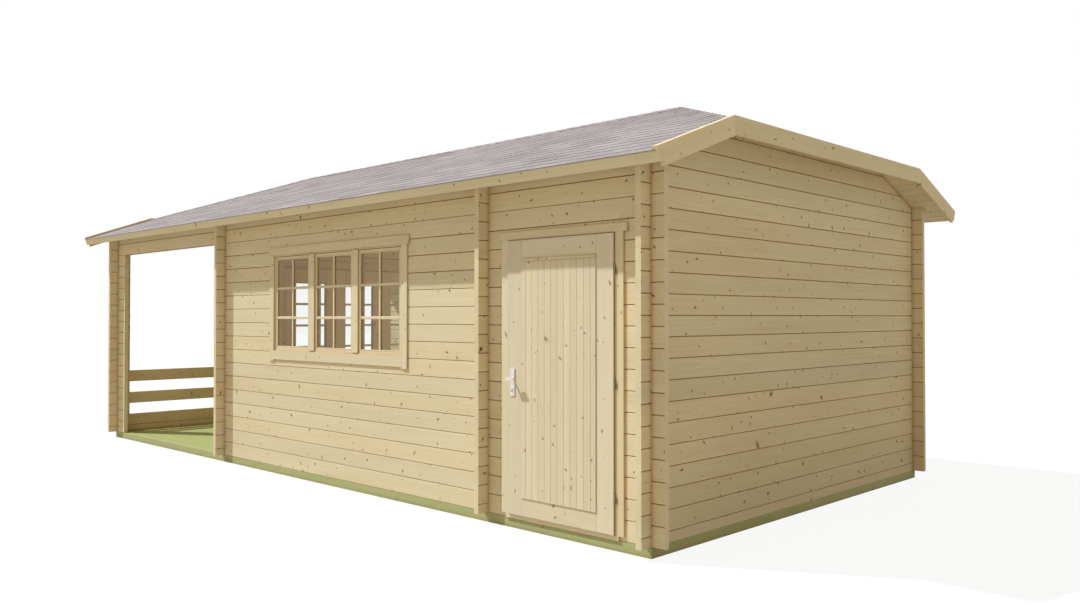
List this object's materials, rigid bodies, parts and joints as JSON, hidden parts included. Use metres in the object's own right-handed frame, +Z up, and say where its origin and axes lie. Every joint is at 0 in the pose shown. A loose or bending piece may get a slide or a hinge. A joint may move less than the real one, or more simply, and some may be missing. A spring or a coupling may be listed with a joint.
{
  "type": "log cabin",
  "caption": "Log cabin with a half-hipped shingle roof: open corner terrace, main room with a wide barred window, and a store room with its own hinged door.",
  "frame": {"origin": "on the ground under the middle of the plan", "axes": "+X along the front from the terrace to the store room, +Y from the front wall to the back wall, +Z up"},
  "size_m": [8.78, 4.5708, 3.285],
  "materials": {
    "log_wood": "planed spruce, untreated",
    "roof_wood": "planed spruce, untreated",
    "floor_wood": "planed floor boards",
    "joinery": "planed and sanded",
    "door_wood": "planed and sanded",
    "treated_wood": "green pressure-treated",
    "shingles": "grey mineral granules",
    "glass": "clear",
    "steel": "satin"
  },
  "bodies": {
    "cabin": {"back_wall": "log_wood", "barge_boards": "log_wood", "base_bearers": "treated_wood", "fascia_boards": "log_wood", "floor_joists": "treated_wood", "front_beam": "log_wood", "front_wall": "log_wood", "front_wall_over_door": "log_wood", "front_wall_right": "log_wood", "hip_rafters": "roof_wood", "left_gable": "log_wood", "purlins": "roof_wood", "right_gable": "log_wood", "roof_boards_back": "roof_wood", "roof_boards_front": "roof_wood", "roof_boards_hip_left": "roof_wood", "roof_boards_hip_right": "roof_wood", "room_floors": "floor_wood", "shingles_back": "shingles", "shingles_front": "shingles", "shingles_hip_left": "shingles", "shingles_hip_right": "shingles", "store_door_frame": "joinery", "store_door_trim": "joinery", "store_hinge_posts": "steel", "store_partition": "log_wood", "terrace_balustrade": "log_wood", "terrace_corner": "log_wood", "terrace_deck": "treated_wood", "terrace_door_frame": "joinery", "terrace_door_glass": "glass", "terrace_door_leaves": "joinery", "terrace_door_trim": "joinery", "terrace_stubs": "log_wood", "terrace_wall_back": "log_wood", "terrace_wall_front": "log_wood", "terrace_wall_top": "log_wood", "window_casements": "joinery", "window_frame": "joinery", "window_glass": "glass", "window_trim": "joinery"},
    "store_door": {"store_door_leaf": "door_wood", "store_door_plates": "steel", "store_hinge_cups": "steel"},
    "store_door_handle": {"store_door_lever": "steel"}
  },
  "joints": [
    {"name": "store_door_hinge", "type": "hinge", "parent": "cabin", "child": "store_door", "pos_m": [3.8465, -2.0115, 1.057], "axis": [0, 0, 1], "range_deg": [0, 110]},
    {"name": "store_door_lever_turn", "type": "hinge", "parent": "store_door", "child": "store_door_handle", "pos_m": [2.931, -1.9965, 1.05], "axis": [0, 1, 0], "range_deg": [0, 40], "stiffness_Nm_per_rad": 1, "springref_deg": -34.38}
  ]
}
